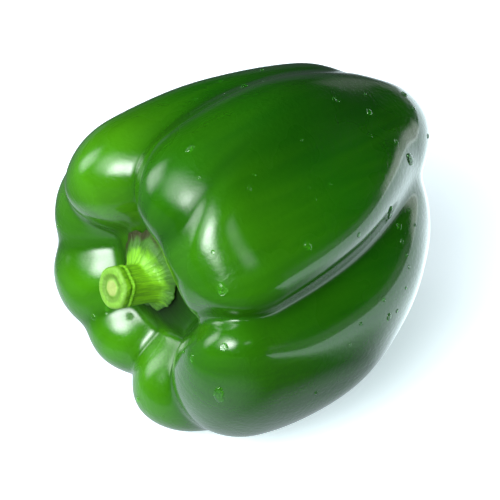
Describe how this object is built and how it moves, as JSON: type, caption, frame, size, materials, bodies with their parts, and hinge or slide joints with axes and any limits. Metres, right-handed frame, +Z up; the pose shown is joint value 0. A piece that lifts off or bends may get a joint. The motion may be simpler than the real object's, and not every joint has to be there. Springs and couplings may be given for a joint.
{
  "type": "bell pepper",
  "caption": "Blocky green bell pepper lying on its side, with deep lobes round a stem pit and a short cut stalk with its calyx.",
  "frame": {"origin": "centre of the bounding box's bottom face, on the surface that the pepper lies on", "axes": "+Z up; the fruit's axis runs along X with the stalk towards -X, tipped up by 6 degrees at the stalk; +Y to the left of the stalk as it points at the viewer"},
  "size_m": [0.1018, 0.0948, 0.0914],
  "materials": {
    "skin": "glossy waxy fruit skin, bright green at the shoulders and dark green towards the blossom end",
    "stalk": "satin fresh green stalk with a pale cut end and a dry brown calyx edge"
  },
  "bodies": {
    "root": {"pod": "skin", "stalk": "stalk"}
  },
  "joints": []
}
